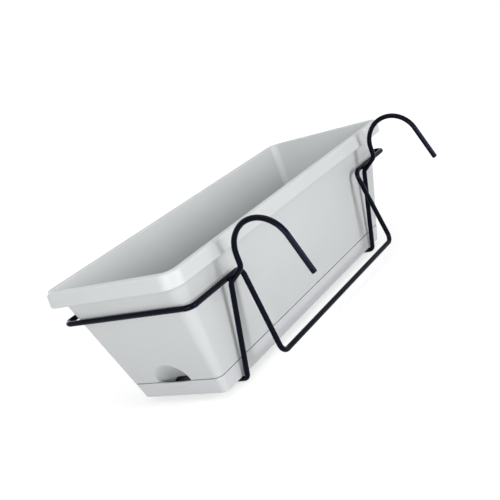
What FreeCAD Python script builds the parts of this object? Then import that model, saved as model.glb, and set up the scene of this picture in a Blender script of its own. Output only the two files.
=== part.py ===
"""Balcony rail planter: a tapered plastic trough on a drip tray, carried by a bent-wire hanger.

The trough's long axis is X and its rail side, with the hooks, is +Y. The tray lies on the two wires that
run under it; the part stands on those wires at Z = 0, with the middle of its plan on the Z axis.
Heights of the trough and the tray are measured up from the tray's underside.
"""
import FreeCAD, Part
import Sketcher
import math
import os
import re

V = FreeCAD.Vector
doc = FreeCAD.newDocument("rail_planter")
sheet = doc.addObject("Spreadsheet::Sheet", "sizes")

# Driving sizes in millimetres, angles in degrees
SIZES = {
    # trough and rim
    "rim_length": 500,
    "rim_width": 181,
    "rim_height": 152,
    "rim_corner": 22,
    "rim_land": 2.6,
    "rim_round": 3,
    "mouth_round": 1.8,
    "overhang": 6.5,
    "lip_height": 14.5,
    "lip_wall": 2.2,
    "lip_flare": 1,
    "base_length": 403,
    "base_width": 115,
    "base_corner": 7.5,
    "mouth_corner": 18,
    "least_corner": 1,
    "trough_wall": 2.4,
    "trough_floor": 2.6,
    # drip tray and how the trough stands in it
    "seam_height": 19,
    "seam_gap": 0.8,
    "tray_wall": 2,
    "tray_floor": 2,
    "tray_round": 2,
    "nest_clearance": 0.6,
    "skirt_drop": 7,
    "skirt_wall": 2,
    "foot_diameter": 16,
    "foot_wall": 2,
    "foot_gap": 0.3,
    "foot_pitch": 130,
    "foot_spread": 66,
    "drain_diameter": 8,
    # watering scoop in each end wall, and the spout of the tray below it
    "scoop_width": 45,
    "scoop_height": 24.5,
    "scoop_depth": 14,
    "spout_drop": 9,
    "spout_proud": 2.4,
    # wire hanger
    "wire_diameter": 6,
    "wire_bend": 9,
    "foot_bend": 8,
    "weld_set": 0.6,
    "tray_seat": 0.3,
    "ring_height": 111,
    "ring_end_gap": 0.5,
    "ring_side_gap": 7,
    "hook_spacing": 335,
    "hook_radius": 33.5,
    "hook_rise": 132,
    "hook_rim_gap": 11.5,
    "tip_slant": 19,
    "tip_length": 43.5,
    "tip_round": 1.2,
    "jog_angle": 37.5,
    "leg_gap": 1,
    "leg_over_ring": 4,
    "spacer_width": 288,
    "spacer_spread": 4,
    "spacer_drop": 98.5,
    "spacer_offset": 15.5,
}
for row, (alias, number) in enumerate(SIZES.items(), start=1):
    sheet.set(f"A{row}", alias)
    sheet.set(f"B{row}", str(number))
    sheet.setAlias(f"B{row}", alias)
doc.recompute()

# Formulas that several pieces share
END_SLOPE = "((rim_length - base_length) / 2 - overhang) / rim_height"
SIDE_SLOPE = "((rim_width - base_width) / 2 - overhang) / rim_height"
CORNER_SLOPE = "(mouth_corner - base_corner) / rim_height"
FLOOR_LEVEL = "(seam_height + seam_gap)"
TRAY_LEVEL = "(wire_diameter + tray_seat)"
WIRE_RADIUS = "wire_diameter / 2"
RING_HALF_WIDTH = f"(base_width / 2 + ring_height * {SIDE_SLOPE} + ring_side_gap + {WIRE_RADIUS})"
RING_HALF_LENGTH = (f"(base_length / 2 + ring_height * {END_SLOPE}"
                    f" + ({WIRE_RADIUS} + ring_end_gap) * sqrt(1 + ({END_SLOPE}) ^ 2))")
SHANK_REACH = f"(rim_width / 2 + lip_flare + hook_rim_gap + {WIRE_RADIUS})"
TIP_REACH = f"({SHANK_REACH} + hook_radius * (1 + cos(tip_slant)) + tip_length * sin(tip_slant))"
BACK_REACH = f"({TIP_REACH} - tip_round * sin(tip_slant) + {WIRE_RADIUS} * cos(tip_slant))"
FRONT_REACH = f"max({RING_HALF_WIDTH} + {WIRE_RADIUS}; rim_width / 2 + lip_flare)"
CENTRE_Y = f"(({BACK_REACH} - {FRONT_REACH}) / 2)"


def in_sheet(formula):
    """The formula with every driving size in it named as a cell of the sheet."""
    return re.sub(r"[a-z_]+", lambda word: f"sizes.{word[0]}" if word[0] in SIZES else word[0], formula)


def bind(obj, prop, formula):
    """Tie a property to the sheet."""
    obj.setExpression(prop, in_sheet(formula))


def value(formula):
    """The number that a formula gives with the sheet's sizes."""
    return float(sheet.evalExpression(in_sheet(formula)))


def wall_plan(height, inset="0"):
    """Length, width and corner radius of the tapered wall's plan at a height, moved in by an inset."""
    length = f"base_length + 2 * {height} * {END_SLOPE} - 2 * ({inset})"
    width = f"base_width + 2 * {height} * {SIDE_SLOPE} - 2 * ({inset})"
    corner = f"max(base_corner + {height} * {CORNER_SLOPE} - ({inset}); least_corner)"
    return length, width, corner


def new_body(label):
    """A body that stands on the hanger's wires, moved so that the part's middle is on the Z axis."""
    body = doc.addObject("PartDesign::Body", label)
    body.Label = label
    bind(body, "Placement.Base.y", f"-{CENTRE_Y}")
    bind(body, "Placement.Base.z", TRAY_LEVEL)
    return body


def new_sketch(body, name, height):
    """An empty sketch on the body's XY plane, raised to a height."""
    plane = next(f for f in body.Origin.OriginFeatures if f.Role == "XY_Plane")
    sketch = body.newObject("Sketcher::SketchObject", name)
    sketch.AttachmentSupport = (plane, "")
    sketch.MapMode = "FlatFace"
    bind(sketch, "AttachmentOffset.Base.z", height)
    return sketch


def constrain(sketch, name, formula, *constraint):
    """A named constraint, tied to the sheet."""
    index = sketch.addConstraint(Sketcher.Constraint(*constraint))
    sketch.renameConstraint(index, name)
    bind(sketch, f"Constraints.{name}", formula)


def add_rounded_rectangle(sketch, plan, name="plan"):
    """A centred rectangle with round corners: length along X, width along Y, corner radius."""
    x, y, r = (value(formula) / share for formula, share in zip(plan, (2, 2, 1)))
    starts = [V(r - x, -y, 0), V(x, r - y, 0), V(x - r, y, 0), V(-x, y - r, 0)]
    ends = [V(x - r, -y, 0), V(x, y - r, 0), V(r - x, y, 0), V(-x, r - y, 0)]
    centres = [V(x - r, r - y, 0), V(x - r, y - r, 0), V(r - x, y - r, 0), V(r - x, r - y, 0)]
    sides = []
    corners = []
    for k in range(4):
        sides.append(sketch.addGeometry(Part.LineSegment(starts[k], ends[k]), False))
        turn = math.pi / 2 * (k - 1)
        circle = Part.Circle(centres[k], V(0, 0, 1), r)
        corners.append(sketch.addGeometry(Part.ArcOfCircle(circle, turn, turn + math.pi / 2), False))
    for k in range(4):
        sketch.addConstraint(Sketcher.Constraint("Tangent", sides[k], 2, corners[k], 1))
        sketch.addConstraint(Sketcher.Constraint("Tangent", corners[k], 2, sides[(k + 1) % 4], 1))
        sketch.addConstraint(Sketcher.Constraint(("Horizontal", "Vertical")[k % 2], sides[k]))
    for k in range(3):
        sketch.addConstraint(Sketcher.Constraint("Equal", corners[k], corners[k + 1]))
    sketch.addConstraint(Sketcher.Constraint("Symmetric", sides[0], 1, sides[2], 1, -1, 1))
    constrain(sketch, f"{name}_length", plan[0], "DistanceX", sides[3], 1, sides[1], 1, 2 * x)
    constrain(sketch, f"{name}_width", plan[1], "DistanceY", sides[0], 1, sides[2], 1, 2 * y)
    constrain(sketch, f"{name}_corner", plan[2], "Radius", corners[0], r)


def add_circles(sketch, places, diameter, name):
    """Circles of one diameter, at places given by formulas for X and Y."""
    for k, (along, across) in enumerate(places):
        x, y, d = value(along), value(across), value(diameter)
        circle = sketch.addGeometry(Part.Circle(V(x, y, 0), V(0, 0, 1), d / 2), False)
        constrain(sketch, f"{name}_{k}_x", along, "DistanceX", -1, 1, circle, 3, x)
        constrain(sketch, f"{name}_{k}_y", across, "DistanceY", -1, 1, circle, 3, y)
        constrain(sketch, f"{name}_{k}_diameter", diameter, "Diameter", circle, d)


def add_loft(body, name, kind, sections):
    """A straight loft, added or cut, through rounded rectangles given as (height, plan)."""
    sketches = []
    for k, (height, plan) in enumerate(sections):
        sketch = new_sketch(body, f"{name}_section_{k}", height)
        add_rounded_rectangle(sketch, plan)
        sketches.append(sketch)
    doc.recompute()
    loft = body.newObject(f"PartDesign::{kind}Loft", name)
    loft.Profile = sketches[0]
    loft.Sections = sketches[1:]
    loft.Ruled = True
    doc.recompute()


def add_pad(body, name, sketch, length):
    """A pad of a sketch, downwards."""
    doc.recompute()
    pad = body.newObject("PartDesign::Pad", name)
    pad.Profile = sketch
    pad.Reversed = True
    bind(pad, "Length", length)
    doc.recompute()


def add_pocket(body, name, sketch, upwards):
    """A pocket of a sketch through all that lies on one side of it."""
    doc.recompute()
    pocket = body.newObject("PartDesign::Pocket", name)
    pocket.Profile = sketch
    pocket.Type = "ThroughAll"
    pocket.Reversed = upwards
    doc.recompute()


def add_ellipsoid(body, name, kind, radii, place, turn, angles):
    """An ellipsoid or a slice of one, added or cut: its radii along its own axes, and its yaw and roll."""
    blob = body.newObject(f"PartDesign::{kind}Ellipsoid", name)
    for prop, formula in zip(("Radius2", "Radius3", "Radius1"), radii):
        bind(blob, prop, formula)
    blob.Angle1, blob.Angle2, blob.Angle3 = angles
    for axis, formula in zip("xyz", place):
        bind(blob, f"Placement.Base.{axis}", formula)
    blob.Placement.Rotation = FreeCAD.Rotation(turn[0], 0, turn[1])
    doc.recompute()


def add_fillet(body, name, height, radius, chosen):
    """A fillet on the level edges at a height whose middles pass a test."""
    base = body.Tip
    edges = []
    for number, edge in enumerate(base.Shape.Edges, start=1):
        box = edge.BoundBox
        middle = edge.valueAt((edge.FirstParameter + edge.LastParameter) / 2)
        if max(abs(box.ZMin - height), abs(box.ZMax - height)) < 0.01 and chosen(middle):
            edges.append(f"Edge{number}")
    fillet = body.newObject("PartDesign::Fillet", name)
    fillet.Base = (base, edges)
    bind(fillet, "Radius", radius)
    doc.recompute()


def outside(length, width):
    """A test for points outside a centred rectangle of the given length and width."""
    half_length, half_width = value(length) / 2, value(width) / 2
    return lambda point: abs(point.x) > half_length or abs(point.y) > half_width


def grid(columns, rows):
    """Places on the grid of the trough's feet, as formulas."""
    return [(f"{column} * foot_pitch", f"{row} * foot_spread") for column in columns for row in rows]


def make_trough():
    """Trough with a folded rim, locating skirt, feet, drains and a watering scoop in each end."""
    body = new_body("planter_box")
    lip_foot = "(rim_height - lip_height)"
    rim_top = ("rim_length", "rim_width", "rim_corner")
    rim_foot = ("rim_length + 2 * lip_flare", "rim_width + 2 * lip_flare", "rim_corner + lip_flare")
    hollow_top = ("rim_length - 2 * lip_wall", "rim_width - 2 * lip_wall", "rim_corner - lip_wall")
    hollow_foot = ("rim_length + 2 * lip_flare - 2 * lip_wall", "rim_width + 2 * lip_flare - 2 * lip_wall",
                   "rim_corner + lip_flare - lip_wall")
    add_loft(body, "rim", "Additive", [(lip_foot, rim_foot), ("rim_height", rim_top)])
    add_loft(body, "rim_hollow", "Subtractive",
             [(lip_foot, hollow_foot), ("rim_height - rim_land", hollow_top)])
    add_loft(body, "wall", "Additive",
             [(FLOOR_LEVEL, wall_plan(FLOOR_LEVEL)), ("rim_height", wall_plan("rim_height"))])

    skirt_foot = f"({FLOOR_LEVEL} - skirt_drop)"
    skirt = new_sketch(body, "skirt_plan", FLOOR_LEVEL)
    add_rounded_rectangle(skirt, wall_plan(skirt_foot, "tray_wall + nest_clearance"), "outer")
    add_rounded_rectangle(skirt, wall_plan(skirt_foot, "tray_wall + nest_clearance + skirt_wall"), "inner")
    add_pad(body, "skirt", skirt, "skirt_drop")
    feet = new_sketch(body, "feet_plan", FLOOR_LEVEL)
    add_circles(feet, grid((-1, 0, 1), (-0.5, 0.5)), "foot_diameter", "foot")
    add_circles(feet, grid((-1, 0, 1), (-0.5, 0.5)), "foot_diameter - 2 * foot_wall", "well")
    add_pad(body, "feet", feet, f"{FLOOR_LEVEL} - tray_floor - foot_gap")

    cavity_floor = f"({FLOOR_LEVEL} + trough_floor)"
    add_loft(body, "soil_cavity", "Subtractive",
             [(cavity_floor, wall_plan(cavity_floor, "trough_wall")),
              ("rim_height", wall_plan("rim_height", "trough_wall"))])
    end = f"(base_length / 2 + {FLOOR_LEVEL} * {END_SLOPE})"
    dome = ("scoop_width / 2 + trough_wall", "scoop_depth + trough_wall", "scoop_height + trough_wall")
    scoop = ("scoop_width / 2", "scoop_depth", "scoop_height")
    for name, kind, radii, angles in (("dome", "Additive", dome, (0, 90, 180)),
                                      ("scoop", "Subtractive", scoop, (-90, 90, 360))):
        add_ellipsoid(body, f"right_{name}", kind, radii, (end, "0", FLOOR_LEVEL), (90, 0), angles)
        add_ellipsoid(body, f"left_{name}", kind, radii, (f"-{end}", "0", FLOOR_LEVEL), (-90, 0), angles)
    drains = new_sketch(body, "drain_plan", cavity_floor)
    add_circles(drains, grid((-1.4, -0.5, 0.5, 1.4), (-0.25, 0.25)), "drain_diameter", "drain")
    add_pocket(body, "drains", drains, False)

    land = outside("rim_length - overhang", "rim_width - overhang")
    add_fillet(body, "rim_edge", value("rim_height"), "rim_round", land)
    add_fillet(body, "mouth_edge", value("rim_height"), "mouth_round",
               lambda point: not outside("rim_length - 2 * overhang", "rim_width - 2 * overhang")(point))
    return body


def make_tray():
    """Drip tray, flush with the trough's wall, with a spout under each scoop."""
    body = new_body("drip_tray")
    add_loft(body, "shell", "Additive", [("0", wall_plan("0")), ("seam_height", wall_plan("seam_height"))])
    end = f"(base_length / 2 + seam_height * {END_SLOPE})"
    inner = f"({end} - tray_wall)"
    spout = ("scoop_width / 2", "spout_proud", "spout_drop")
    lean = -math.degrees(math.atan(value(END_SLOPE)))
    for side, sign, yaw in (("right", "", -90), ("left", "-", 90)):
        place = (sign + end, "0", "seam_height")
        add_ellipsoid(body, f"{side}_spout", "Additive", spout, place, (yaw, lean), (-90, 0, 180))
    add_loft(body, "basin", "Subtractive",
             [("tray_floor", wall_plan("tray_floor", "tray_wall")),
              ("seam_height", wall_plan("seam_height", "tray_wall"))])
    for side, sign, yaw in (("right", "", -90), ("left", "-", 90)):
        place = (sign + inner, "0", "seam_height")
        add_ellipsoid(body, f"{side}_pour", "Subtractive", spout, place, (yaw, lean), (-90, 90, 360))
    add_fillet(body, "tray_edge", 0, "tray_round", lambda point: True)
    return body


def bent_wire(points, bends, diameter):
    """A round wire along a path of straight runs, with a bend of the given radius at each inner point."""
    edges = []
    start = points[0]
    for before, corner, after, bend in zip(points, points[1:], points[2:], bends):
        inward = (before - corner).normalize()
        outward = (after - corner).normalize()
        half = inward.getAngle(outward) / 2
        reach = bend / math.tan(half)
        first = corner + inward * reach
        last = corner + outward * reach
        bisector = (inward + outward).normalize()
        middle = corner + bisector * (bend / math.sin(half) - bend)
        edges.append(Part.LineSegment(start, first).toShape())
        edges.append(Part.Arc(first, middle, last).toShape())
        start = last
    edges.append(Part.LineSegment(start, points[-1]).toShape())
    path = Part.Wire(edges)
    section = Part.Wire(Part.makeCircle(diameter / 2, points[0], points[1] - points[0]))
    wire = path.makePipe(Part.Face(section))
    expected = math.pi * diameter ** 2 / 4 * path.Length
    if abs(wire.Volume / expected - 1) > 0.002:
        raise ValueError(f"a wire's volume is {wire.Volume:.0f}, not {expected:.0f}")
    return wire


def add_feature(label, shape):
    """A finished shape as an object of the document, moved so that the part's middle is on the Z axis."""
    feature = doc.addObject("Part::Feature", label)
    feature.Label = label
    feature.Shape = shape
    feature.Placement = FreeCAD.Placement(V(0, -value(CENTRE_Y), 0), FreeCAD.Rotation())
    return feature


def hook_wire(x):
    """One hook: over the rail, down past the rim, round the ring, under the tray and up its front."""
    radius = value(WIRE_RADIUS)
    ring = V(x, value(RING_HALF_WIDTH), value(f"ring_height + {TRAY_LEVEL}"))
    pitch = value("wire_diameter - weld_set")
    shank = value(SHANK_REACH)
    slant = math.radians(value("tip_slant"))
    rise = value(f"hook_rise + {TRAY_LEVEL}")
    hook = value("hook_radius")
    tip_z = rise + hook * math.sin(slant) - value("tip_length") * math.cos(slant)
    tip = V(x, value(TIP_REACH), tip_z)
    apex = V(x, shank, rise + hook / math.tan(slant / 2))
    jog = math.radians(value("jog_angle"))
    touch = V(x, ring.y + pitch * math.sin(jog), ring.z - pitch * math.cos(jog))
    jog_top = V(x, shank, touch.z + (shank - touch.y) * math.tan(jog))
    jog_foot = V(x, ring.y, touch.z + (ring.y - touch.y) * math.tan(jog))
    run = value(f"base_width / 2 + leg_gap + {WIRE_RADIUS}")
    back_foot = V(x, run, radius)
    front_foot = V(x, -run, radius)
    rise_y, rise_z = ring.y - run, ring.z - radius
    reach = math.hypot(rise_y, rise_z)
    lean = math.atan2(rise_y, rise_z) - math.asin(pitch / reach)
    climb = math.sqrt(reach ** 2 - pitch ** 2) + value("leg_over_ring")
    top = front_foot + V(0, -math.sin(lean), math.cos(lean)) * climb
    bend = value("wire_bend")
    foot_bend = value("foot_bend")
    wire = bent_wire([tip, apex, jog_top, jog_foot, back_foot, front_foot, top],
                     [hook, bend, bend, foot_bend, foot_bend], 2 * radius)
    ends = [edge for edge in wire.Edges if edge.Length < 7 * radius and min(
        (edge.CenterOfMass - tip).Length, (edge.CenterOfMass - top).Length) < 0.01]
    return wire.makeFillet(value("tip_round"), ends)


def ring_wire(hooks):
    """The ring round the trough and the spacer below it, in one wire, set into the hooks where welded."""
    level = value(f"ring_height + {TRAY_LEVEL}")
    x, y = value(RING_HALF_LENGTH), value(RING_HALF_WIDTH)
    leg = value("spacer_width / 2")
    spread = value("spacer_spread")
    out = y + value("spacer_offset")
    low = level - value("spacer_drop")
    points = [V(0, -y, level), V(x, -y, level), V(x, y, level), V(leg, y, level),
              V(leg + spread, out, low), V(0, out, low)]
    half = bent_wire(points, [value("wire_bend")] * 4, value("wire_diameter"))
    whole = half.fuse(half.mirror(V(0, 0, 0), V(1, 0, 0))).removeSplitter()
    return whole.cut(hooks)


make_trough()
make_tray()
hook_x = value("hook_spacing / 2")
hooks = [hook_wire(-hook_x), hook_wire(hook_x)]
add_feature("hook_wire_left", hooks[0])
add_feature("hook_wire_right", hooks[1])
add_feature("ring_wire", ring_wire(hooks))
doc.recompute()

os.makedirs("parts", exist_ok=True)
for obj in doc.Objects:
    if "Invalid" in obj.State or "Error" in obj.State:
        raise ValueError(f"{obj.Name}: {obj.State}")
for label in ("planter_box", "drip_tray", "ring_wire", "hook_wire_left", "hook_wire_right"):
    piece = doc.getObjectsByLabel(label)[0]
    if piece.Shape.isNull() or not piece.Shape.isValid() or len(piece.Shape.Solids) != 1:
        raise ValueError(f"{label} is not one valid solid")
    piece.Shape.exportStep(f"parts/{label}.step")
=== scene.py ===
"""Dresses the rail planter: moulded trough and drip tray, coated wire hanger, studio stage and camera."""
import bpy
import math
from mathutils import Matrix, Vector


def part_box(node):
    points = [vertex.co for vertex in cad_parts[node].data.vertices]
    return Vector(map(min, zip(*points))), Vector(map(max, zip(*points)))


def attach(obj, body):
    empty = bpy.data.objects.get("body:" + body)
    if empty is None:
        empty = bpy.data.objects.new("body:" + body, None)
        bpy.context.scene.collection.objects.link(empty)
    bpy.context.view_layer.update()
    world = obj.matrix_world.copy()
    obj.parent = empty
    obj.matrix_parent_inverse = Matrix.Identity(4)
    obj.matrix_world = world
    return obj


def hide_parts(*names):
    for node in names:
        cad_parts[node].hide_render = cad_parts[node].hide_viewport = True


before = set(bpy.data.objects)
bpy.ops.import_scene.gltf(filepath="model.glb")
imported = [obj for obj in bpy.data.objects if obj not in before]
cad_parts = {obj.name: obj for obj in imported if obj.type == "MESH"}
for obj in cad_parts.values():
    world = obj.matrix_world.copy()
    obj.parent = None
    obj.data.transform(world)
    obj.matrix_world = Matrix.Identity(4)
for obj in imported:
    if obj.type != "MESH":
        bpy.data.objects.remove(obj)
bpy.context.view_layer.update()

# Places read from the frame, in metres
TROUGH_LOW, TROUGH_HIGH = (Vector(corner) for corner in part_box("planter_box"))
TRAY_LOW, _ = (Vector(corner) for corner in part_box("drip_tray"))
RING_LOW, RING_HIGH = (Vector(corner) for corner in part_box("ring_wire"))
HOOK_LOW, HOOK_HIGH = (Vector(corner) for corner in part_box("hook_wire_right"))
MIDDLE_Y = (TROUGH_LOW.y + TROUGH_HIGH.y) / 2
TRAY_Z = TRAY_LOW.z
RIM_Z = TROUGH_HIGH.z
HOOK_X = (HOOK_LOW.x + HOOK_HIGH.x) / 2
WIRE = HOOK_HIGH.x - HOOK_LOW.x

# Trough and tray
LIP_FLARE = 0.001
RIM_LENGTH = TROUGH_HIGH.x - TROUGH_LOW.x - 2 * LIP_FLARE
RIM_WIDTH = TROUGH_HIGH.y - TROUGH_LOW.y - 2 * LIP_FLARE
RIM_HEIGHT = RIM_Z - TRAY_Z
RIM_CORNER = 0.019
RIM_LAND = 0.0026
RIM_ROUND = 0.003
MOUTH_ROUND = 0.0018
OVERHANG = 0.0065
LIP_HEIGHT = 0.0163
LIP_WALL = 0.0022
BASE_LENGTH = 0.403
BASE_WIDTH = 0.115
BASE_CORNER = 0.0075
MOUTH_CORNER = 0.018
INNER_CORNER = 0.010
TROUGH_WALL = 0.0024
FLOOR_THICK = 0.0026
FLOOR_ROUND = 0.004
SEAM_HEIGHT = 0.019
SEAM_GAP = 0.0011
TRAY_WALL = 0.002
TRAY_ROUND = 0.001
EDGE_ROUND = 0.0003
LEAST_CORNER = 0.001
DRAFT = 0.00004
SKIRT_DROP = 0.007
SKIRT_INSET = 0.0034
SKIRT_WALL = 0.002
FOOT_RADIUS = 0.008
FOOT_WALL = 0.002
FOOT_LENGTH = 0.0178
FOOT_PITCH = 0.130
FOOT_SPREAD = 0.066
DRAIN_RADIUS = 0.004
DRAIN_FIRST = 1.4 * FOOT_PITCH
DRAIN_STEP = 0.9 * FOOT_PITCH
SCOOP_HALF = 0.0225
SCOOP_RISE = 0.022
SCOOP_SLANT = math.radians(42.4)
SCOOP_END = 0.036
SCOOP_EDGE = 0.0015
COLLAR_DROP = 0.015
SCOOP_LEAD = 0.0003
SLOT_HALF = 0.0102
SLOT_SPREAD = 2.7
SLOT_TOP = 0.0034
SLOT_CORNER = 0.002
SPOUT_RADII = (0.008, 0.0386, 0.0154)
SPOUT_PROUD = 0.0017
FLOOR_LEVEL = SEAM_HEIGHT + SEAM_GAP
END_SLOPE = (RIM_LENGTH / 2 - OVERHANG - BASE_LENGTH / 2) / RIM_HEIGHT

# Wire hanger
WIRE_RADIUS = WIRE / 2
WIRE_BEND = 0.009
FOOT_BEND = 0.006
WELD_SET = 0.0006
WELD_BEAD = (0.0040, 0.0017, 0.0040)
TIP_ROUND = 0.0015
RING_Z = RING_HIGH.z - WIRE_RADIUS
RING_X = RING_HIGH.x - WIRE_RADIUS
RING_Y = MIDDLE_Y - RING_LOW.y - WIRE_RADIUS
SPACER_Z = RING_LOW.z + WIRE_RADIUS
SPACER_Y = RING_HIGH.y - MIDDLE_Y - WIRE_RADIUS
SPACER_HALF = 0.144
SPACER_SPREAD = 0.004
HOOK_RADIUS = 0.0335
HOOK_RIM_GAP = 0.0115
TIP_SLANT = math.radians(19)
TIP_LENGTH = 0.0435
JOG_ANGLE = math.radians(37.5)
LEG_GAP = 0.001
LEG_OVER_RING = 0.004
RISE_Z = HOOK_HIGH.z - WIRE_RADIUS - HOOK_RADIUS
SHANK_Y = RIM_WIDTH / 2 + LIP_FLARE + HOOK_RIM_GAP + WIRE_RADIUS
WIRE_PITCH = WIRE - WELD_SET

# Steps of the meshes
CORNER_STEPS = 14
WIRE_SIDES = 24
BEND_STEPS = 12
HOOK_STEPS = 56
SCOOP_SIDES = 96
EDGE_STEPS = 6
BALL_SIDES = 64
POST_SIDES = 40
BEVEL_STEPS = 5
MERGE = 0.00001
END_MARGIN = 1.01
FACING = 0.5
SHARP_ANGLE = 35
WIRE_SHARP_ANGLE = 50
NORMAL_WEIGHT = 80


def select_only(obj):
    """Makes obj the one selected, active object, in object mode."""
    if bpy.context.object and bpy.context.object.mode != "OBJECT":
        bpy.ops.object.mode_set(mode="OBJECT")
    bpy.ops.object.select_all(action="DESELECT")
    obj.select_set(True)
    bpy.context.view_layer.objects.active = obj


def open_mesh(obj):
    """Opens obj in edit mode with all of it selected."""
    select_only(obj)
    bpy.ops.object.mode_set(mode="EDIT")
    bpy.ops.mesh.select_all(action="SELECT")


def close_mesh(obj):
    """Points all faces outwards and leaves edit mode, with obj's place in its mesh."""
    bpy.ops.mesh.select_mode(type="VERT")
    bpy.ops.mesh.select_all(action="SELECT")
    bpy.ops.mesh.normals_make_consistent(inside=False)
    bpy.ops.object.mode_set(mode="OBJECT")
    bpy.ops.object.transform_apply(location=True, rotation=True, scale=True)


def pick(obj, parts, test):
    """Opens obj in edit mode with only those of its vertices or faces selected that pass a test."""
    open_mesh(obj)
    bpy.ops.mesh.select_mode(type="FACE" if parts == "polygons" else "VERT")
    bpy.ops.mesh.select_all(action="DESELECT")
    bpy.ops.object.mode_set(mode="OBJECT")
    for part in getattr(obj.data, parts):
        part.select = test(part)
    bpy.ops.object.mode_set(mode="EDIT")


def finish_modifier(obj, kind, **settings):
    """Adds a modifier to obj and applies it."""
    select_only(obj)
    modifier = obj.modifiers.new(kind.lower(), kind)
    for name, setting in settings.items():
        setattr(modifier, name, setting)
    bpy.ops.object.modifier_apply(modifier=modifier.name)


def smooth(obj, angle=SHARP_ANGLE):
    """Smooth shading that keeps sharp edges, with flat faces kept flat beside small rounds."""
    select_only(obj)
    bpy.ops.object.shade_smooth_by_angle(angle=math.radians(angle))
    finish_modifier(obj, "WEIGHTED_NORMAL", mode="FACE_AREA", weight=NORMAL_WEIGHT, keep_sharp=True)


def combine(obj, other, operation):
    """Joins other to obj or cuts it away, and deletes it."""
    finish_modifier(obj, "BOOLEAN", operation=operation, solver="EXACT", object=other)
    bpy.data.objects.remove(other, do_unlink=True)


def repeat(obj, steps):
    """Copies a modelled shape inside its mesh, each copy a step on from the one before."""
    open_mesh(obj)
    for step in steps:
        bpy.ops.mesh.duplicate_move(TRANSFORM_OT_translate={"value": step})
    close_mesh(obj)


def mirror_ends(obj):
    """Adds the other end's copy of a shape, mirrored across the middle of the length."""
    open_mesh(obj)
    bpy.ops.mesh.duplicate()
    bpy.ops.transform.resize(value=(-1, 1, 1), center_override=(0, 0, 0))
    close_mesh(obj)


def wall_plan(height, out=0.0):
    """Length, width and corner radius of the tapered wall at a height over the tray's underside."""
    share = height / RIM_HEIGHT
    length = BASE_LENGTH + (RIM_LENGTH - 2 * OVERHANG - BASE_LENGTH) * share
    width = BASE_WIDTH + (RIM_WIDTH - 2 * OVERHANG - BASE_WIDTH) * share
    corner = BASE_CORNER + (MOUTH_CORNER - BASE_CORNER) * share
    return length + 2 * out, width + 2 * out, max(corner + out, LEAST_CORNER)


def inner_plan(height, out):
    """The wall's plan with the tighter corners of the inside."""
    length, width, corner = wall_plan(height, out)
    return length, width, max(min(corner, INNER_CORNER + TROUGH_WALL + out), LEAST_CORNER)


def rim_plan(height, out=0.0):
    """Length, width and corner radius of the rim's outer face at a height."""
    flare = LIP_FLARE * (RIM_HEIGHT - height) / LIP_HEIGHT + out
    return RIM_LENGTH + 2 * flare, RIM_WIDTH + 2 * flare, RIM_CORNER + flare


def round_steps(radius, start, end, steps=BEVEL_STEPS):
    """Offsets (across, up) of points on a round, from angle to angle in degrees."""
    turns = [math.radians(start + (end - start) * step / steps) for step in range(steps + 1)]
    return [(radius * math.cos(turn), radius * math.sin(turn)) for turn in turns]


def loft(name, rings, caps):
    """A skin bridged through rounded rectangles given as (height, (length, width, corner))."""
    groups = []
    bpy.ops.object.select_all(action="DESELECT")
    for number, (height, (length, width, corner)) in enumerate(rings):
        place = (0, MIDDLE_Y, TRAY_Z + height)
        bpy.ops.mesh.primitive_plane_add(size=1, location=place)
        if number == 0:
            obj = bpy.context.object
            obj.name = name
            open_mesh(obj)
        bpy.ops.transform.resize(value=(length, width, 1), center_override=place)
        bpy.ops.mesh.bevel(offset=corner, segments=CORNER_STEPS, affect="VERTICES")
        bpy.ops.mesh.hide(unselected=True)
        bpy.ops.mesh.select_all(action="SELECT")
        bpy.ops.object.vertex_group_assign_new()
        bpy.ops.mesh.reveal(select=False)
        groups.append(obj.vertex_groups[-1].name)
    bpy.ops.mesh.select_all(action="SELECT")
    bpy.ops.mesh.delete(type="ONLY_FACE")

    def pick_rings(*names):
        bpy.ops.mesh.select_all(action="DESELECT")
        for group in names:
            bpy.ops.object.vertex_group_set_active(group=group)
            bpy.ops.object.vertex_group_select()

    for low, high in zip(groups, groups[1:]):
        pick_rings(low, high)
        bpy.ops.mesh.bridge_edge_loops()
    for cap in caps:
        pick_rings(groups[cap])
        bpy.ops.mesh.edge_face_add()
    bpy.ops.mesh.select_all(action="SELECT")
    bpy.ops.mesh.remove_doubles(threshold=MERGE)
    close_mesh(obj)
    obj.vertex_groups.clear()
    return obj


def trough_skin():
    """The trough's closed skin: up the wall, round the folded rim and down the inside to the floor."""
    rings = [(FLOOR_LEVEL, wall_plan(FLOOR_LEVEL, -EDGE_ROUND))]
    rings += [(FLOOR_LEVEL + EDGE_ROUND + up, wall_plan(FLOOR_LEVEL + EDGE_ROUND, across - EDGE_ROUND))
              for across, up in round_steps(EDGE_ROUND, -60, 0, 2)]
    under = RIM_HEIGHT - RIM_LAND
    rings.append((under, wall_plan(under)))
    rings.append((under - DRAFT, rim_plan(under, -LIP_WALL)))
    foot = RIM_HEIGHT - LIP_HEIGHT
    half = LIP_WALL / 2
    rings += [(foot + half + up, rim_plan(foot, across - half))
              for across, up in round_steps(half, -180, 0, 6)]
    top = RIM_HEIGHT - RIM_ROUND
    rings += [(top + up, rim_plan(RIM_HEIGHT, across - RIM_ROUND))
              for across, up in round_steps(RIM_ROUND, 0, 90, 6)]
    mouth = RIM_HEIGHT - MOUTH_ROUND - DRAFT
    rings += [(mouth + up, inner_plan(RIM_HEIGHT, MOUTH_ROUND - TROUGH_WALL + across))
              for across, up in round_steps(MOUTH_ROUND, 90, 180, 5)]
    floor = FLOOR_LEVEL + FLOOR_THICK + FLOOR_ROUND
    rings += [(floor + up, inner_plan(floor, across - FLOOR_ROUND - TROUGH_WALL))
              for across, up in round_steps(FLOOR_ROUND, 0, -90, 5)]
    return loft("trough", rings, (0, -1))


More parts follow.
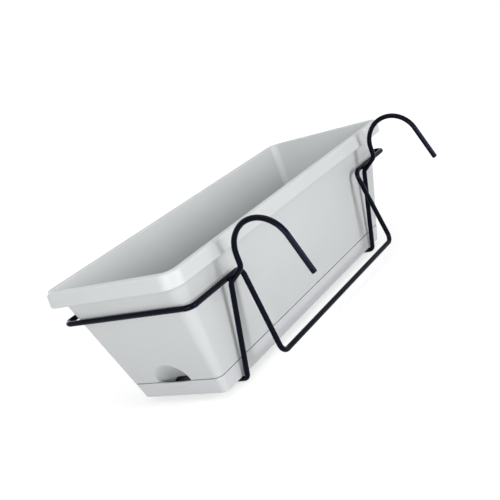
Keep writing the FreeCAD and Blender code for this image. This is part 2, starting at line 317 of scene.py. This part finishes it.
def tray_skin():
    """The tray's closed skin: underside, outer wall, brim, inner wall and floor."""
    rings = [(TRAY_ROUND + up, wall_plan(TRAY_ROUND, across - TRAY_ROUND))
             for across, up in round_steps(TRAY_ROUND, -90, 0)]
    brim = SEAM_HEIGHT - EDGE_ROUND
    rings += [(brim + up, wall_plan(SEAM_HEIGHT, across - EDGE_ROUND))
              for across, up in round_steps(EDGE_ROUND, 0, 90, 3)]
    rings += [(brim + up - DRAFT, wall_plan(SEAM_HEIGHT, across + EDGE_ROUND - TRAY_WALL))
              for across, up in round_steps(EDGE_ROUND, 90, 180, 3)]
    well = TRAY_WALL + TRAY_ROUND
    rings += [(well + up, wall_plan(well, across - TRAY_ROUND - TRAY_WALL))
              for across, up in round_steps(TRAY_ROUND, 0, -90)]
    return loft("tray", rings, (0, -1))


def skirt_skin():
    """The locating skirt under the trough's floor, its top buried in the floor."""
    low = FLOOR_LEVEL - SKIRT_DROP
    top = FLOOR_LEVEL + FLOOR_THICK / 2
    outer = wall_plan(low, -SKIRT_INSET)
    inner = wall_plan(low, -SKIRT_INSET - SKIRT_WALL)
    rings = [(top, outer), (low, outer), (low + DRAFT, inner), (top + DRAFT, inner), (top, outer)]
    return loft("skirt", rings, ())


def ellipsoid(name, radii, place, turn=(0, 0, 0)):
    """A ball drawn out to three radii at a place and turned about it."""
    bpy.ops.object.select_all(action="DESELECT")
    rings = BALL_SIDES // 2
    bpy.ops.mesh.primitive_uv_sphere_add(segments=BALL_SIDES, ring_count=rings, radius=1, location=place)
    obj = bpy.context.object
    obj.name = name
    open_mesh(obj)
    bpy.ops.transform.resize(value=radii, center_override=place)
    bpy.ops.object.mode_set(mode="OBJECT")
    obj.rotation_euler = turn
    bpy.ops.object.transform_apply(location=True, rotation=True, scale=True)
    return obj


def trim(obj, point, normal):
    """Cuts off and closes the part of obj that lies beyond a plane."""
    open_mesh(obj)
    bpy.ops.mesh.bisect(plane_co=point, plane_no=normal, use_fill=True, clear_outer=True)
    close_mesh(obj)


def post(name, radius, place, length):
    """A round post hanging down from a place."""
    bpy.ops.object.select_all(action="DESELECT")
    middle = Vector(place) - Vector((0, 0, length / 2))
    bpy.ops.mesh.primitive_cylinder_add(vertices=POST_SIDES, radius=radius, depth=length, location=middle)
    obj = bpy.context.object
    obj.name = name
    bpy.ops.object.transform_apply(location=True, rotation=True, scale=True)
    return obj


def make_feet():
    """Six hollow feet: one post inset and pushed in from below, then copied."""
    top = FLOOR_LEVEL + FLOOR_THICK / 2
    place = (-FOOT_PITCH, MIDDLE_Y - FOOT_SPREAD / 2, TRAY_Z + top)
    obj = post("feet", FOOT_RADIUS, place, FOOT_LENGTH + FLOOR_THICK / 2)
    pick(obj, "polygons", lambda face: face.normal.z < -FACING)
    bpy.ops.mesh.inset(thickness=FOOT_WALL)
    bpy.ops.mesh.extrude_region_move(TRANSFORM_OT_translate={"value": (0, 0, FOOT_LENGTH)})
    close_mesh(obj)
    on, over = Vector((FOOT_PITCH, 0, 0)), Vector((0, FOOT_SPREAD, 0))
    repeat(obj, [on, on, over, -on, -on])
    return obj


def make_drains():
    """Eight posts for the drain holes."""
    place = Vector((-DRAIN_FIRST, MIDDLE_Y - FOOT_SPREAD / 4, TRAY_Z + FLOOR_LEVEL + 2 * FLOOR_THICK))
    obj = post("drains", DRAIN_RADIUS, place, 4 * FLOOR_THICK)
    near, far = Vector((DRAIN_STEP, 0, 0)), Vector((FOOT_PITCH, 0, 0))
    repeat(obj, [near, far, near, Vector((0, FOOT_SPREAD / 2, 0)), -near, -far, -near])
    return obj


def scoop_place():
    """Middle of a scoop, on the end wall's outer face at the floor's level."""
    return Vector((wall_plan(FLOOR_LEVEL)[0] / 2, MIDDLE_Y, TRAY_Z + FLOOR_LEVEL))


def scoop_form(name, grow, steps, drop):
    """A scoop's form: an oval on the end wall, slid in and down by steps (depth, more), cut off below."""
    middle = scoop_place()
    lean = math.atan(END_SLOPE)
    tilt = math.sin(SCOOP_SLANT - lean)
    slide = -Vector((math.sin(SCOOP_SLANT), 0, math.cos(SCOOP_SLANT))) / tilt
    half = SCOOP_RISE / math.cos(lean) + grow / tilt
    here = middle + slide * steps[0][0]
    bpy.ops.object.select_all(action="DESELECT")
    bpy.ops.mesh.primitive_circle_add(vertices=SCOOP_SIDES, radius=1, fill_type="NGON", location=here)
    obj = bpy.context.object
    obj.name = name
    open_mesh(obj)
    bpy.ops.transform.resize(value=(half, SCOOP_HALF + grow, 1), center_override=here)
    bpy.ops.transform.resize(value=[1 + steps[0][1] / half] * 3, center_override=here)
    bpy.ops.object.mode_set(mode="OBJECT")
    obj.rotation_euler.y = math.pi / 2 + lean
    bpy.ops.object.transform_apply(location=True, rotation=True, scale=True)
    open_mesh(obj)
    for (before, size), (depth, new_size) in zip(steps, steps[1:]):
        here = middle + slide * depth
        bpy.ops.mesh.extrude_region_move(TRANSFORM_OT_translate={"value": slide * (depth - before)})
        bpy.ops.transform.resize(value=[(half + new_size) / (half + size)] * 3, center_override=here)
    close_mesh(obj)
    trim(obj, middle - Vector((0, 0, drop)), (0, 0, -1))
    return obj


def scoop_steps():
    """Steps of a scoop's hollow: from just outside the wall round its edge and in."""
    turns = [math.radians(90 * step / EDGE_STEPS) for step in range(1, EDGE_STEPS + 1)]
    lead = [(-SCOOP_LEAD, (SCOOP_LEAD + SCOOP_EDGE) / math.tan(turns[0]) / 2)]
    edge = [(SCOOP_EDGE * (1 - math.cos(turn)), SCOOP_EDGE * (1 - math.sin(turn))) for turn in turns]
    return lead + edge + [(SCOOP_END, 0)]


def make_slots():
    """The gates low in the scoops' collars, round-cornered and wider below, that let the water through."""
    height = COLLAR_DROP
    middle = scoop_place() - Vector((SCOOP_RISE, 0, SLOT_TOP + height / 2))
    bpy.ops.object.select_all(action="DESELECT")
    bpy.ops.mesh.primitive_cube_add(size=1, location=middle)
    obj = bpy.context.object
    obj.name = "slots"
    open_mesh(obj)
    bpy.ops.transform.resize(value=(SCOOP_RISE, 2 * SLOT_HALF, height), center_override=middle)
    close_mesh(obj)
    pick(obj, "vertices", lambda vertex: vertex.co.z < middle.z)
    bpy.ops.transform.resize(value=(1, SLOT_SPREAD, 1), center_override=middle)
    close_mesh(obj)
    pick(obj, "vertices", lambda vertex: vertex.co.z > middle.z)
    bpy.ops.mesh.bevel(offset=SLOT_CORNER, segments=BEVEL_STEPS, affect="EDGES")
    close_mesh(obj)
    mirror_ends(obj)
    return obj


def make_trough():
    """Trough: skin, scoop shells, collars, skirt and feet joined on, drains, scoops and slots cut out."""
    obj = trough_skin()
    place = scoop_place()
    shell = scoop_form("shells", TROUGH_WALL, [(-SCOOP_EDGE, 0), (SCOOP_END, 0)], COLLAR_DROP)
    trim(shell, place - Vector((EDGE_ROUND, 0, 0)), (1, 0, -END_SLOPE))
    collar = shell.copy()
    collar.data = shell.data.copy()
    bpy.context.collection.objects.link(collar)
    trim(shell, place + Vector((0, 0, EDGE_ROUND)), (0, 0, -1))
    trim(collar, place + Vector((0, 0, FLOOR_THICK / 2)), (0, 0, 1))
    trim(collar, place - Vector((TRAY_WALL + EDGE_ROUND, 0, 0)), (1, 0, -END_SLOPE))
    hollow = scoop_form("scoops", 0, scoop_steps(), 2 * COLLAR_DROP)
    for part in (shell, collar, hollow):
        mirror_ends(part)
    combine(obj, shell, "UNION")
    combine(obj, skirt_skin(), "UNION")
    combine(obj, collar, "UNION")
    combine(obj, make_feet(), "UNION")
    combine(obj, make_drains(), "DIFFERENCE")
    combine(obj, hollow, "DIFFERENCE")
    combine(obj, make_slots(), "DIFFERENCE")
    smooth(obj)
    return obj


def make_tray():
    """Drip tray with a shallow spout pressed out of each end wall."""
    obj = tray_skin()
    brim = Vector((wall_plan(SEAM_HEIGHT)[0] / 2, MIDDLE_Y, TRAY_Z + SEAM_HEIGHT))
    lean = math.atan(END_SLOPE)
    out = Vector((math.cos(lean), 0, -math.sin(lean)))
    place = brim - out * (SPOUT_RADII[0] - SPOUT_PROUD)
    spout = ellipsoid("spouts", SPOUT_RADII, place, (0, lean, 0))
    trim(spout, brim - Vector((0, 0, DRAFT)), (0, 0, 1))
    trim(spout, brim - out * EDGE_ROUND, -out)
    mirror_ends(spout)
    pour = ellipsoid("pours", SPOUT_RADII, place - out * TRAY_WALL, (0, lean, 0))
    mirror_ends(pour)
    combine(obj, spout, "UNION")
    combine(obj, pour, "DIFFERENCE")
    smooth(obj)
    return obj


def bent_wire(name, points, bends):
    """A round wire: a circle pushed along each straight run and spun round each bend."""
    first = (points[1] - points[0]).normalized()
    turn = first.to_track_quat("Z", "Y").to_euler()
    bpy.ops.object.select_all(action="DESELECT")
    bpy.ops.mesh.primitive_circle_add(vertices=WIRE_SIDES, radius=WIRE_RADIUS, fill_type="NOTHING",
                                      location=points[0], rotation=turn)
    obj = bpy.context.object
    obj.name = name
    bpy.ops.object.transform_apply(location=True, rotation=True, scale=True)
    open_mesh(obj)
    here = points[0]
    for before, corner, after, bend in zip(points, points[1:], points[2:], bends):
        back = (before - corner).normalized()
        on = (after - corner).normalized()
        half = back.angle(on) / 2
        reach = bend / math.tan(half)
        centre = corner + (back + on).normalized() * (bend / math.sin(half))
        bpy.ops.mesh.extrude_region_move(TRANSFORM_OT_translate={"value": corner + back * reach - here})
        steps = HOOK_STEPS if bend == HOOK_RADIUS else BEND_STEPS
        axis = back.cross(on).normalized()
        bpy.ops.mesh.spin(steps=steps, angle=math.pi - 2 * half, center=centre, axis=axis)
        here = corner + on * reach
    bpy.ops.mesh.extrude_region_move(TRANSFORM_OT_translate={"value": points[-1] - here})
    bpy.ops.mesh.select_all(action="SELECT")
    bpy.ops.mesh.remove_doubles(threshold=MERGE)
    close_mesh(obj)
    return obj


def round_tip(obj, end):
    """Closes one end of a wire and rounds its edge."""
    pick(obj, "vertices", lambda vertex: (vertex.co - end).length < WIRE_RADIUS * END_MARGIN)
    bpy.ops.mesh.edge_face_add()
    bpy.ops.mesh.bevel(offset=TIP_ROUND, segments=BEVEL_STEPS, affect="EDGES")
    close_mesh(obj)


def at(x, y, z):
    """A point of the hanger, with Y counted from the trough's middle."""
    return Vector((x, MIDDLE_Y + y, z))


def hook_points(x):
    """Bend points of a hook wire, from its tip over the rail and under the tray to its front end."""
    tip = at(x, SHANK_Y + HOOK_RADIUS * (1 + math.cos(TIP_SLANT)) + TIP_LENGTH * math.sin(TIP_SLANT),
             RISE_Z + HOOK_RADIUS * math.sin(TIP_SLANT) - TIP_LENGTH * math.cos(TIP_SLANT))
    apex = at(x, SHANK_Y, RISE_Z + HOOK_RADIUS / math.tan(TIP_SLANT / 2))
    touch_y = RING_Y + WIRE_PITCH * math.sin(JOG_ANGLE)
    touch_z = RING_Z - WIRE_PITCH * math.cos(JOG_ANGLE)
    jog_top = at(x, SHANK_Y, touch_z + (SHANK_Y - touch_y) * math.tan(JOG_ANGLE))
    jog_foot = at(x, RING_Y, touch_z + (RING_Y - touch_y) * math.tan(JOG_ANGLE))
    run = BASE_WIDTH / 2 + LEG_GAP + WIRE_RADIUS
    rise_y, rise_z = RING_Y - run, RING_Z - WIRE_RADIUS
    reach = math.hypot(rise_y, rise_z)
    lean = math.atan2(rise_y, rise_z) - math.asin(WIRE_PITCH / reach)
    climb = math.sqrt(reach ** 2 - WIRE_PITCH ** 2) + LEG_OVER_RING
    front = at(x, -run, WIRE_RADIUS)
    top = front + Vector((0, -math.sin(lean), math.cos(lean))) * climb
    return [tip, apex, jog_top, jog_foot, at(x, run, WIRE_RADIUS), front, top]


def make_hooks():
    """The right hook wire, and its copy on the left."""
    points = hook_points(HOOK_X)
    right = bent_wire("hook_right", points, [HOOK_RADIUS, WIRE_BEND, WIRE_BEND, FOOT_BEND, FOOT_BEND])
    round_tip(right, points[0])
    round_tip(right, points[-1])
    jog = points[3] - points[2]
    leg = points[-1] - points[-2]
    for side, run, inward in ((RING_Y, jog, 1), (-RING_Y, leg, -1)):
        across = Vector((inward, 0, 0)).cross(run).normalized()
        place = at(HOOK_X, side, RING_Z) + across * (WIRE_PITCH / 2)
        bead = ellipsoid("bead", WELD_BEAD, place, (math.atan2(across.z, across.y), 0, 0))
        combine(right, bead, "UNION")
    smooth(right, WIRE_SHARP_ANGLE)
    left = right.copy()
    left.data = right.data.copy()
    left.name = "hook_left"
    bpy.context.collection.objects.link(left)
    open_mesh(left)
    bpy.ops.transform.translate(value=(-2 * HOOK_X, 0, 0))
    bpy.ops.object.mode_set(mode="OBJECT")
    return right, left


def make_ring():
    """The ring round the trough and the spacer below it, one closed wire."""
    points = [at(0, -RING_Y, RING_Z), at(RING_X, -RING_Y, RING_Z), at(RING_X, RING_Y, RING_Z),
              at(SPACER_HALF, RING_Y, RING_Z), at(SPACER_HALF + SPACER_SPREAD, SPACER_Y, SPACER_Z),
              at(-SPACER_HALF - SPACER_SPREAD, SPACER_Y, SPACER_Z), at(-SPACER_HALF, RING_Y, RING_Z),
              at(-RING_X, RING_Y, RING_Z), at(-RING_X, -RING_Y, RING_Z), at(0, -RING_Y, RING_Z)]
    obj = bent_wire("ring", points, [WIRE_BEND] * (len(points) - 2))
    smooth(obj, WIRE_SHARP_ANGLE)
    return obj


class Signal:
    """A shader socket that can be used in sums and products."""

    def __init__(self, paint, socket):
        self.paint = paint
        self.socket = socket

    def maths(self, operation, first, second):
        return self.paint.node("ShaderNodeMath", {"operation": operation}, {0: first, 1: second})

    def __add__(self, other):
        return self.maths("ADD", self, other)

    __radd__ = __add__

    def __mul__(self, other):
        return self.maths("MULTIPLY", self, other)

    __rmul__ = __mul__

    def __sub__(self, other):
        return self.maths("SUBTRACT", self, other)

    def __rsub__(self, other):
        return self.maths("SUBTRACT", other, self)


class Paint:
    """The nodes of a material or a world, and the means to add to them."""

    def __init__(self, owner, shader):
        owner.use_nodes = True
        self.owner = owner
        self.tree = owner.node_tree
        self.shader = self.tree.nodes[shader]

    def node(self, kind, settings=None, inputs=None, output=0):
        """Adds a node with its settings and the values or links of its sockets."""
        made = self.tree.nodes.new(kind)
        for name, setting in (settings or {}).items():
            setattr(made, name, setting)
        for name, source in (inputs or {}).items():
            self.feed(made.inputs[name], source)
        return Signal(self, made.outputs[output])

    def feed(self, socket, source):
        """Links a signal to a socket, or sets its value."""
        if isinstance(source, Signal):
            self.tree.links.new(source.socket, socket)
        else:
            socket.default_value = source

    def surface(self, inputs):
        """Feeds the shader's sockets."""
        for name, source in inputs.items():
            self.feed(self.shader.inputs[name], source)
        return self.owner

    def noise(self, where, scale, detail=3.0, roughness=0.5):
        """Noise about its middle, from -0.5 to 0.5."""
        inputs = {"Vector": where, "Scale": scale, "Detail": detail, "Roughness": roughness}
        return self.node("ShaderNodeTexNoise", {}, inputs) - 0.5

    def blend(self, share, first, second):
        """A colour between two."""
        settings = {"data_type": "RGBA", "clamp_factor": True}
        return self.node("ShaderNodeMix", settings, {0: share, 6: first, 7: second}, 2)

    def seen(self):
        """One for rays from the camera, reflections and glass, and zero for rays that carry light."""
        camera, glossy, through = (
            self.node("ShaderNodeLightPath", output=name)
            for name in ("Is Camera Ray", "Is Glossy Ray", "Is Transmission Ray"))
        return 1 - (1 - camera) * (1 - glossy) * (1 - through)


# Colours, scales of the noises and gloss of the two materials
PALE_GREY = (0.608, 0.626, 0.632, 1)
PALE_SHADE = (0.569, 0.588, 0.597, 1)
TRAY_GREY = (0.630, 0.644, 0.662, 1)
TRAY_SHADE = (0.590, 0.606, 0.626, 1)
WIRE_BLACK = (0.001, 0.001, 0.003, 1)
WIRE_DUST = (0.003, 0.003, 0.008, 1)
CLOUD_SCALE = 14
FLOW_SCALE = 70
GRAIN_SCALE = 1400
PEEL_SCALE = 420
DUST_SCALE = 55
PLASTIC_GLOSS = 0.38
PLASTIC_SPECULAR = 0.45
PLASTIC_BUMP = {"Strength": 0.06, "Distance": 0.0006}
COAT_GLOSS = 0.11
COAT_SPECULAR = 0.10
COAT_TINT = (0.55, 0.65, 1.0, 1)
COAT_BUMP = {"Strength": 0.10, "Distance": 0.0004}


def new_paint(name):
    """A new material's nodes."""
    return Paint(bpy.data.materials.new(name), "Principled BSDF")


def moulded_plastic(name, colour, shade):
    """Pale moulded plastic: fine grain, faint flow marks and uneven gloss."""
    paint = new_paint(name)
    where = paint.node("ShaderNodeTexCoord", output="Object")
    clouds = paint.noise(where, CLOUD_SCALE, 4)
    flow = paint.noise(where, FLOW_SCALE, 3)
    grain = paint.noise(where, GRAIN_SCALE, 2)
    base = paint.blend(clouds * 1.3 + grain * 0.5 + 0.5, colour, shade)
    height = grain * 0.7 + flow * 0.3
    bump = paint.node("ShaderNodeBump", {}, {**PLASTIC_BUMP, "Height": height})
    gloss = PLASTIC_GLOSS + clouds * 0.12 + grain * 0.10
    return paint.surface({
        "Base Color": base, "Roughness": gloss, "Normal": bump, "Specular IOR Level": PLASTIC_SPECULAR})


def powder_coat(name, colour, shade):
    """Black coated wire: satin skin with a slight orange peel."""
    paint = new_paint(name)
    where = paint.node("ShaderNodeTexCoord", output="Object")
    peel = paint.noise(where, PEEL_SCALE, 2)
    dust = paint.noise(where, DUST_SCALE, 4)
    base = paint.blend(dust * 1.5 + 0.5, colour, shade)
    bump = paint.node("ShaderNodeBump", {}, {**COAT_BUMP, "Height": peel})
    gloss = COAT_GLOSS + dust * 0.08 + peel * 0.05
    return paint.surface({
        "Base Color": base, "Roughness": gloss, "Normal": bump,
        "Specular IOR Level": COAT_SPECULAR, "Specular Tint": COAT_TINT})


def dress(obj, material, body, node):
    """Gives a piece its material, the body that it moves with and the CAD node that it stands for."""
    obj.data.materials.clear()
    obj.data.materials.append(material)
    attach(obj, body)
    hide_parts(node)


coat = powder_coat("wire_coating", WIRE_BLACK, WIRE_DUST)
hook_right, hook_left = make_hooks()
dress(make_trough(), moulded_plastic("trough_plastic", PALE_GREY, PALE_SHADE), "trough",
      "planter_box")
dress(make_tray(), moulded_plastic("tray_plastic", TRAY_GREY, TRAY_SHADE), "tray",
      "drip_tray")
dress(make_ring(), coat, "hanger", "ring_wire")
dress(hook_left, coat, "hanger", "hook_wire_left")
dress(hook_right, coat, "hanger", "hook_wire_right")

# Stage, with the camera fitted to the photograph's edges in a frame of 500 x 500 pixels
WHITE = (1, 1, 1, 1)
BLACK = (0, 0, 0, 1)
FLOOR_COLOUR = (0.5, 0.5, 0.5, 1)
FLOOR_ROUGHNESS = 0.9
FLOOR_SIZE = 40
GLOW_NEAR = 0.64
GLOW_FAR = 0.80
GLOW_REACH = (0.45, 1.1)
SKY_LIGHT = 0.41
TARGET = (0, -0.05, 0.08)
LAMPS = {
    "rail_side_light": ((0.1, 1.5, 0.4), 0.55, 13.8),
    "camera_side_light": ((1.2, 0.35, 0.3), 0.5, 5.8),
    "end_side_light": ((1.9, -0.2, 0.35), 0.7, 3.6),
    "overhead_light": ((0.0, 0.0, 2.4), 2.0, 14.0),
    "front_light": ((-0.4, -1.7, 0.5), 0.8, 8.0),
}
FRAME_PIXELS = 500
FOCAL_PIXELS = 887.7
SENSOR = 36
CAMERA_PLACE = (0.8259, 0.6246 + MIDDLE_Y, 0.3495 + TRAY_Z)
CAMERA_RIGHT = Vector((-0.4950, 0.7980, -0.3438))
CAMERA_UP = Vector((-0.4021, 0.1404, 0.9048))


def make_floor():
    """A wide pale floor, white to the camera, that keeps the object's shadow."""
    bpy.ops.object.select_all(action="DESELECT")
    bpy.ops.mesh.primitive_plane_add(size=FLOOR_SIZE, location=(0, 0, 0))
    floor = bpy.context.object
    floor.name = "studio_floor"
    paint = new_paint("studio_floor")
    where = paint.node("ShaderNodeTexCoord", output="Object")
    away = paint.node("ShaderNodeVectorMath", {"operation": "LENGTH"}, {0: where}, "Value")
    share = paint.node("ShaderNodeMapRange", {"interpolation_type": "SMOOTHSTEP"}, {
        "Value": away, "From Min": GLOW_REACH[0], "From Max": GLOW_REACH[1],
        "To Min": GLOW_NEAR, "To Max": GLOW_FAR})
    glow = paint.blend(paint.seen() * share, BLACK, WHITE)
    floor.data.materials.append(paint.surface({
        "Base Color": FLOOR_COLOUR, "Roughness": FLOOR_ROUGHNESS, "Specular IOR Level": 0.0,
        "Emission Color": glow, "Emission Strength": 1.0}))


def make_world():
    """White where it is seen, and a plain soft light on the object."""
    world = bpy.data.worlds.new("studio")
    bpy.context.scene.world = world
    paint = Paint(world, "Background")
    paint.surface({"Color": WHITE, "Strength": SKY_LIGHT + (1 - SKY_LIGHT) * paint.seen()})


def make_lamp(name, place, size, power):
    """A square soft box that points at the object."""
    lamp = bpy.data.lights.new(name, "AREA")
    lamp.size = size
    lamp.energy = power
    obj = bpy.data.objects.new(name, lamp)
    bpy.context.collection.objects.link(obj)
    obj.location = place
    obj.rotation_euler = (Vector(TARGET) - Vector(place)).to_track_quat("-Z", "Y").to_euler()


def make_camera():
    """The photograph's camera: its place, its turned frame and its lens."""
    camera = bpy.data.cameras.new("camera")
    camera.sensor_width = SENSOR
    camera.lens = FOCAL_PIXELS * SENSOR / FRAME_PIXELS
    obj = bpy.data.objects.new("camera", camera)
    bpy.context.collection.objects.link(obj)
    right = CAMERA_RIGHT.normalized()
    back = right.cross(CAMERA_UP).normalized()
    turn = Matrix((right, back.cross(right), back)).transposed().to_4x4()
    obj.matrix_world = Matrix.Translation(CAMERA_PLACE) @ turn
    bpy.context.scene.camera = obj


make_floor()
make_world()
for lamp_name, lamp in LAMPS.items():
    make_lamp(lamp_name, *lamp)
make_camera()
bpy.context.scene.view_settings.view_transform = "Standard"
